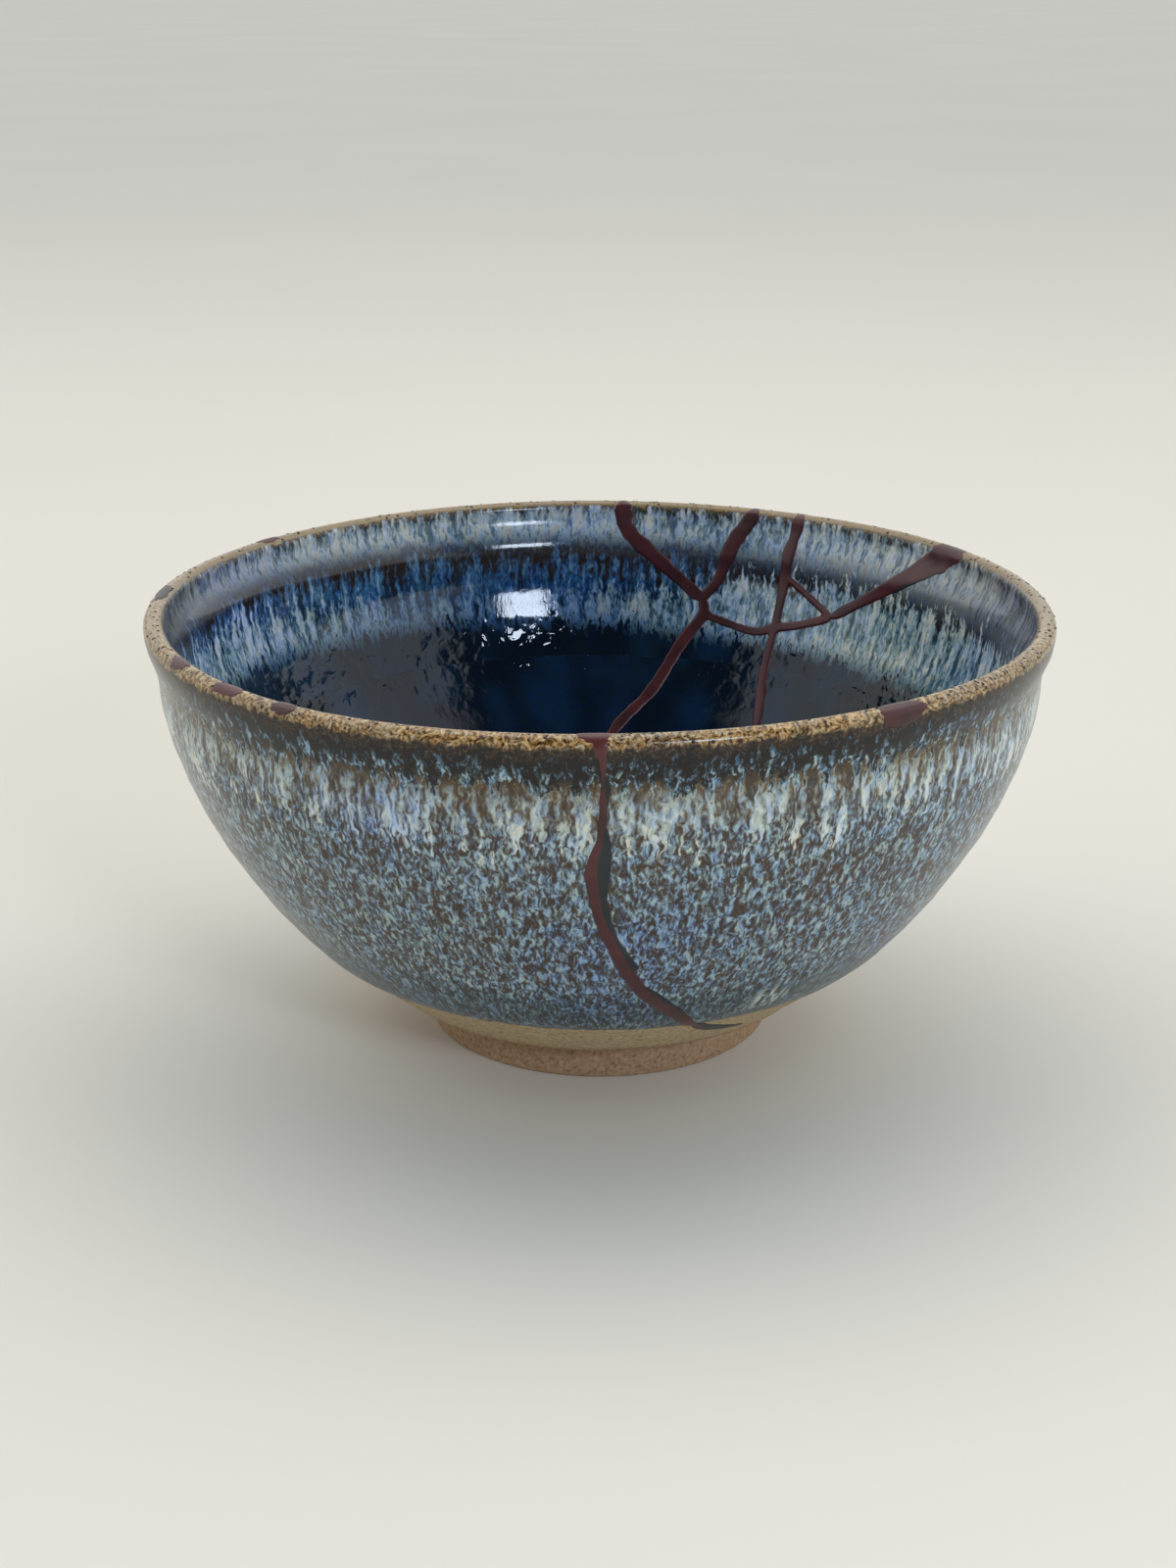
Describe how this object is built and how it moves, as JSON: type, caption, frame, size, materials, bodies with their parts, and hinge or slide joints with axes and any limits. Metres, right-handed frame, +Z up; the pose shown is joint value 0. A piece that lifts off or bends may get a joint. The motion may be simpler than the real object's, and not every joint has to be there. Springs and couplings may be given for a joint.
{
  "type": "tenmoku tea bowl",
  "caption": "Round-lipped stoneware tea bowl on a set-in foot ring, with streaked blue and brown glaze and red-brown lacquer in its cracks and rim chips.",
  "frame": {"origin": "centre of the foot ring's underside, on the surface that the bowl stands on", "axes": "+Z up through the mouth, -Y towards the mended crack that the picture shows at the front, +X to its right"},
  "size_m": [0.1302, 0.1304, 0.0647],
  "materials": {
    "glazed_stoneware": "glossy rutile and iron glaze over buff stoneware, bare below the glaze line",
    "lacquer": "satin red-brown lacquer"
  },
  "bodies": {
    "root": {"bowl": "glazed_stoneware", "lacquer_mend": "lacquer", "rim_fill_front_right": "lacquer", "rim_fill_front_left": "lacquer", "rim_fill_left_front": "lacquer", "rim_fill_left": "lacquer", "rim_fill_left_back": "lacquer", "rim_fill_back_left": "lacquer"}
  },
  "joints": []
}
